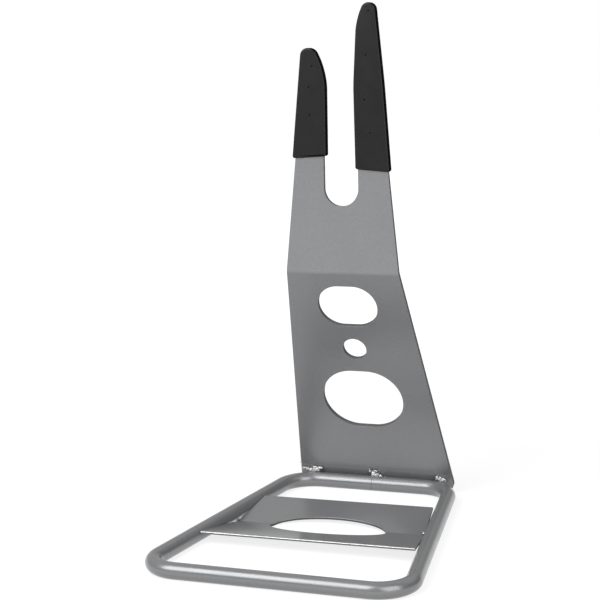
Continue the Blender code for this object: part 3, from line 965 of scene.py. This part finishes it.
def add_range(tree, value, lowest, highest, first, last):
    """Return a value mapped from one range to another, and held at its ends."""
    limits = {"From Min": lowest, "From Max": highest, "To Min": first, "To Max": last}
    mapped = add_node(tree, "ShaderNodeMapRange", limits)
    tree.links.new(value, mapped.inputs["Value"])
    return mapped.outputs["Result"]


def spread(tree, factor, low, high):
    """Return the factor of a noise, stretched to run between two values."""
    return add_range(tree, factor, *NOISE_SPAN, low, high)


def mix_colours(tree, factor, first, second):
    """Return a colour between two, each a tuple or another node's output."""
    mix = add_node(tree, "ShaderNodeMix", data_type="RGBA")
    tree.links.new(factor, mix.inputs["Factor"])
    for number, colour in zip(COLOUR_SOCKETS, (first, second)):
        if isinstance(colour, tuple):
            mix.inputs[number].default_value = (*colour, 1.0)
        else:
            tree.links.new(colour, mix.inputs[number])
    return mix.outputs[MIXED_COLOUR]


def add_bump(tree, height, distance, strength, under=None):
    """Return a normal roughened by a height, over another bump if one is given."""
    bump = add_node(tree, "ShaderNodeBump", {"Distance": distance, "Strength": strength})
    tree.links.new(height, bump.inputs["Height"])
    if under is not None:
        tree.links.new(under, bump.inputs["Normal"])
    return bump.outputs["Normal"]


# %% The grey paint
def make_paint():
    """Return the glossy metallic grey of the tube and sheets."""
    material, tree, shader = new_finish("grey_metallic_paint")
    patches = spread(tree, add_noise(tree, 14.0, 1.0), 0.0, 1.0)
    flake = spread(tree, add_noise(tree, 1300.0, 1.0), 0.0, 1.0)
    grey = mix_colours(tree, patches, (0.238, 0.241, 0.248), (0.252, 0.254, 0.259))
    dark = mix_colours(tree, patches, (0.195, 0.198, 0.204), (0.208, 0.210, 0.214))
    tree.links.new(mix_colours(tree, flake, dark, grey), shader.inputs["Base Color"])
    tree.links.new(spread(tree, add_noise(tree, 30.0), 0.28, 0.34), shader.inputs["Roughness"])
    peel = add_bump(tree, add_noise(tree, 700.0, 1.0), distance=0.00002, strength=0.5)
    waves = add_noise(tree, 24.0, 1.0)
    slow = add_bump(tree, waves, distance=0.00025, strength=0.5, under=peel)
    tree.links.new(slow, shader.inputs["Normal"])
    tree.links.new(slow, shader.inputs["Coat Normal"])
    shader.inputs["Metallic"].default_value = 0.42
    shader.inputs["Coat Weight"].default_value = 0.4
    shader.inputs["Coat Roughness"].default_value = 0.13
    return material


def make_dull_wall_painted_shade():
    """Return the dull paint on the rough walls of the sheets; its darker grey is painted shade.
    """
    material, tree, shader = new_finish("dull_wall_painted_shade_paint")
    grain = spread(tree, add_noise(tree, 400.0), 0.0, 1.0)
    # Darker than the paint of the faces: this grey is painted shade on the walls
    grey = mix_colours(tree, grain, (0.086, 0.087, 0.090), (0.118, 0.119, 0.122))
    tree.links.new(grey, shader.inputs["Base Color"])
    tree.links.new(spread(tree, add_noise(tree, 90.0), 0.5, 0.65), shader.inputs["Roughness"])
    shader.inputs["Specular IOR Level"].default_value = 0.1
    return material


def make_front_edge_highlight():
    """Return the silvery paint on the front edge of the trough, a painted highlight."""
    material, tree, shader = new_finish("painted_highlight_front_edge")
    grain = spread(tree, add_noise(tree, 300.0), 0.0, 1.0)
    # A silvery grey, lighter than the paint: a painted highlight along the edge
    silver = mix_colours(tree, grain, (0.34, 0.34, 0.35), (0.46, 0.46, 0.46))
    tree.links.new(silver, shader.inputs["Base Color"])
    tree.links.new(spread(tree, add_noise(tree, 120.0), 0.26, 0.38), shader.inputs["Roughness"])
    shader.inputs["Metallic"].default_value = 0.8
    return material


paint = make_paint()
dull_wall_painted_shade = make_dull_wall_painted_shade()
front_edge_highlight = make_front_edge_highlight()
print("made", paint.name, dull_wall_painted_shade.name, "and", front_edge_highlight.name)

# %% [markdown]
# The welds carry the same paint over rough metal. Their lumps catch far more light, and their
# grey is lighter and more silvery than the paint, in a fine grain.

# %% The painted weld metal
def make_weld_finish():
    """Return the lighter, more silvery paint of the welds, in a fine grain."""
    material, tree, shader = new_finish("silvery_weld_paint")
    grain = spread(tree, add_noise(tree, 900.0), 0.0, 1.0)
    bright = mix_colours(tree, grain, (0.24, 0.24, 0.25), (0.60, 0.59, 0.58))
    tree.links.new(bright, shader.inputs["Base Color"])
    tree.links.new(spread(tree, add_noise(tree, 1500.0), 0.16, 0.34), shader.inputs["Roughness"])
    rough = add_bump(tree, add_noise(tree, 2600.0), distance=0.00012, strength=0.6)
    tree.links.new(rough, shader.inputs["Normal"])
    shader.inputs["Metallic"].default_value = 0.8
    shader.inputs["Coat Weight"].default_value = 0.6
    shader.inputs["Coat Roughness"].default_value = 0.1
    return material


weld_finish = make_weld_finish()
print("made", weld_finish.name)

# %% [markdown]
# The sleeves are soft black plastic. A fine grain breaks the highlights, and a wider mottling
# of the roughness reads as the bloom that such plastic gets. Their faces and rims have a
# satin skin that draws a faint light line down the right rim, and their walls are duller.

# %% The sleeve plastic
def make_sleeve_finish(name, dark, light, roughness, shine):
    """Return black plastic between two greys, with a roughness and a strength of shine."""
    material, tree, shader = new_finish(name)
    bloom = spread(tree, add_noise(tree, 60.0), 0.0, 1.0)
    black = mix_colours(tree, bloom, (dark, dark, dark), (light, light, light))
    tree.links.new(black, shader.inputs["Base Color"])
    worn = spread(tree, add_noise(tree, 90.0), roughness - 0.02, roughness + 0.02)
    tree.links.new(worn, shader.inputs["Roughness"])
    grain = add_bump(tree, add_noise(tree, 1400.0, 3.0), distance=0.00008, strength=0.5)
    tree.links.new(grain, shader.inputs["Normal"])
    shader.inputs["Specular IOR Level"].default_value = shine
    return material


sleeve_finish = make_sleeve_finish("satin_black_sleeve", 0.008, 0.010, 0.31, 0.25)
sleeve_wall_finish = make_sleeve_finish("dull_black_sleeve_wall", 0.007, 0.010, 0.60, 0.0)
print("made", sleeve_finish.name, "and", sleeve_wall_finish.name)

# %% [markdown]
# ## Putting the pieces on the frame
#
# Each modelled piece rides on the stand's one body, stands for the measured node that it was
# modelled over, and wears its finishes. The table also lists the record's finish for each
# piece, which nothing below reads.

# %% Ride, replace and put on the finishes
sleeve_finishes = (sleeve_finish, sleeve_wall_finish)
PIECES = (
    (tube_loop, "base_loop", "grey_paint", (paint,)),
    # The walls of the upright and the trough wear a grey darkened by painted shade
    (upright, "upright_plate", "grey_paint", (paint, dull_wall_painted_shade)),
    # The trough's third finish is a painted highlight on its front edge
    (cradle, "wheel_cradle", "grey_paint", (paint, dull_wall_painted_shade, front_edge_highlight)),
    (short_sleeve, "short_prong_sleeve", "black_sleeve", sleeve_finishes),
    (tall_sleeve, "tall_prong_sleeve", "black_sleeve", sleeve_finishes),
    *[(weld, name, "painted_weld", (weld_finish,)) for name, weld in welds.items()],
)
for piece, node, slot, finishes in PIECES:
    while len(piece.material_slots) < len(finishes):
        piece.data.materials.append(None)
    for number, finish in enumerate(finishes):
        piece.material_slots[number].material = finish
    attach(piece, "root")
    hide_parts(node)
print(len(PIECES), "pieces on the frame")

# %% [markdown]
# ## Floor and light
#
# The stand was shot on white. The floor here is a grey sheet that keeps the stand's shadow,
# and light of its own lifts it to white. That light grows with the distance from the stand,
# where the lamps reach less. Only the camera sees it, straight or mirrored in the paint, so
# it doesn't light the stand.

# %% Floor
FLOOR_SIZE = 12.0
FLOOR_GREY = 0.26
NEAR_LIFT = 0.80
LIFT_GROWS = (0.4, 1.2)


def add_math(tree, operation, first, second):
    """Return two values put together by a math node."""
    node = add_node(tree, "ShaderNodeMath", operation=operation)
    tree.links.new(first, node.inputs[0])
    tree.links.new(second, node.inputs[1])
    return node.outputs["Value"]


def seen_or_mirrored(tree):
    """Return 1 for what the camera sees, straight or in metal and glass, and else 0."""
    path = add_node(tree, "ShaderNodeLightPath")
    seen = path.outputs["Is Camera Ray"]
    for ray in ("Is Glossy Ray", "Is Transmission Ray"):
        seen = add_math(tree, "MAXIMUM", seen, path.outputs[ray])
    return seen


def make_floor():
    """Lay a floor that reads as white and keeps a soft shadow."""
    deselect_everything()
    bpy.ops.mesh.primitive_plane_add(size=FLOOR_SIZE, location=(0.0, 0.0, 0.0))
    floor = name_piece("floor")
    material, tree, shader = new_finish("white_floor")
    shader.inputs["Base Color"].default_value = (FLOOR_GREY, FLOOR_GREY, FLOOR_GREY, 1.0)
    shader.inputs["Roughness"].default_value = 0.9
    shader.inputs["Specular IOR Level"].default_value = 0.0
    place = add_node(tree, "ShaderNodeTexCoord")
    away = add_node(tree, "ShaderNodeVectorMath", operation="LENGTH")
    tree.links.new(place.outputs["Object"], away.inputs[0])
    amount = add_range(tree, away.outputs["Value"], *LIFT_GROWS, NEAR_LIFT, 1.0)
    lift = add_node(tree, "ShaderNodeEmission", {"Color": (1.0, 1.0, 1.0, 1.0)})
    strength = add_math(tree, "MULTIPLY", amount, seen_or_mirrored(tree))
    tree.links.new(strength, lift.inputs["Strength"])
    both = add_node(tree, "ShaderNodeAddShader")
    tree.links.new(shader.outputs["BSDF"], both.inputs[0])
    tree.links.new(lift.outputs["Emission"], both.inputs[1])
    tree.links.new(both.outputs["Shader"], tree.nodes["Material Output"].inputs["Surface"])
    floor.data.materials.append(material)


make_floor()
print("laid the floor")

# %% [markdown]
# Glossy paint shows its surroundings beside its own colour, so the studio matters. Its walls
# are dim, the left one less so. Behind the stand there is a pale ceiling, and low down a
# white backdrop that ends at the right. The tubes tell where the lamps were: a bright band
# runs along the front and rear tube, and one more patch sits on the right front bend. A
# mirror at those places looks at two large soft boxes, a strong one in front on the left
# and a weaker, lower one on the right. Their power is set with a card of plain mid grey in
# place of the paint: a colour should come out about as light as it is written.

# %% World
LEFT_GREY = 0.45
RIGHT_GREY = 0.12
CEILING_GREY = 0.55

# Where each surface fades in or out, along X, Y or Z of the direction that is looked in
WALLS_FADE = (-0.5, 0.6)
BEHIND_STARTS = (0.1, 0.4)
CEILING_STARTS = (0.35, 0.5)
BACKDROP_TOP = (0.05, 0.2)
BACKDROP_RIGHT_END = (0.4, 0.6)


def make_world():
    """Surround the stand with dim walls, a pale ceiling and a white backdrop behind it."""
    world = bpy.data.worlds.new("studio")
    world.use_nodes = True
    tree = world.node_tree
    direction = add_node(tree, "ShaderNodeTexCoord")
    split = add_node(tree, "ShaderNodeSeparateXYZ")
    tree.links.new(direction.outputs["Generated"], split.inputs["Vector"])
    walls = add_range(tree, split.outputs["X"], *WALLS_FADE, LEFT_GREY, RIGHT_GREY)
    behind = add_range(tree, split.outputs["Y"], *BEHIND_STARTS, 0.0, 1.0)
    high = add_range(tree, split.outputs["Z"], *CEILING_STARTS, 0.0, CEILING_GREY)
    low = add_range(tree, split.outputs["Z"], *BACKDROP_TOP, 1.0, 0.0)
    room = add_math(tree, "MAXIMUM", walls, add_math(tree, "MULTIPLY", behind, high))
    left = add_range(tree, split.outputs["X"], *BACKDROP_RIGHT_END, 1.0, 0.0)
    backdrop = add_math(tree, "MULTIPLY", add_math(tree, "MULTIPLY", behind, low), left)
    backdrop = add_math(tree, "MULTIPLY", backdrop, seen_or_mirrored(tree))
    path = add_node(tree, "ShaderNodeLightPath")
    white = add_math(tree, "MAXIMUM", path.outputs["Is Camera Ray"], backdrop)
    sky = tree.nodes["Background"]
    sky.inputs["Color"].default_value = (1.0, 1.0, 1.0, 1.0)
    tree.links.new(add_math(tree, "MAXIMUM", room, white), sky.inputs["Strength"])
    bpy.context.scene.world = world


make_world()
print("the walls run from", LEFT_GREY, "on the left to", RIGHT_GREY, "on the right")

# %% Lamps
# Each soft box: how far round to the right, how high, how far away, its size and its power
SOFT_BOXES = {
    "key_box": (-32.0, 44.0, 1.7, (1.20, 1.20), 24.0),
    "fill_box": (50.0, 29.0, 1.7, (1.25, 1.50), 17.0),
}


def hang_soft_box(name, round_to, height, away, size, power):
    """Hang a soft box that faces the middle of the stand."""
    level, azimuth = radians(height), radians(round_to)
    way = Vector((sin(azimuth) * cos(level), -cos(azimuth) * cos(level), sin(level)))
    bpy.ops.object.light_add(type="AREA", location=way * away)
    lamp = bpy.context.object
    lamp.name = name
    lamp.data.shape = "RECTANGLE"
    lamp.data.size, lamp.data.size_y = size
    lamp.data.energy = power
    lamp.rotation_euler = way.to_track_quat("Z", "Y").to_euler()


for name, settings in SOFT_BOXES.items():
    hang_soft_box(name, *settings)
bpy.context.scene.view_settings.view_transform = "Standard"
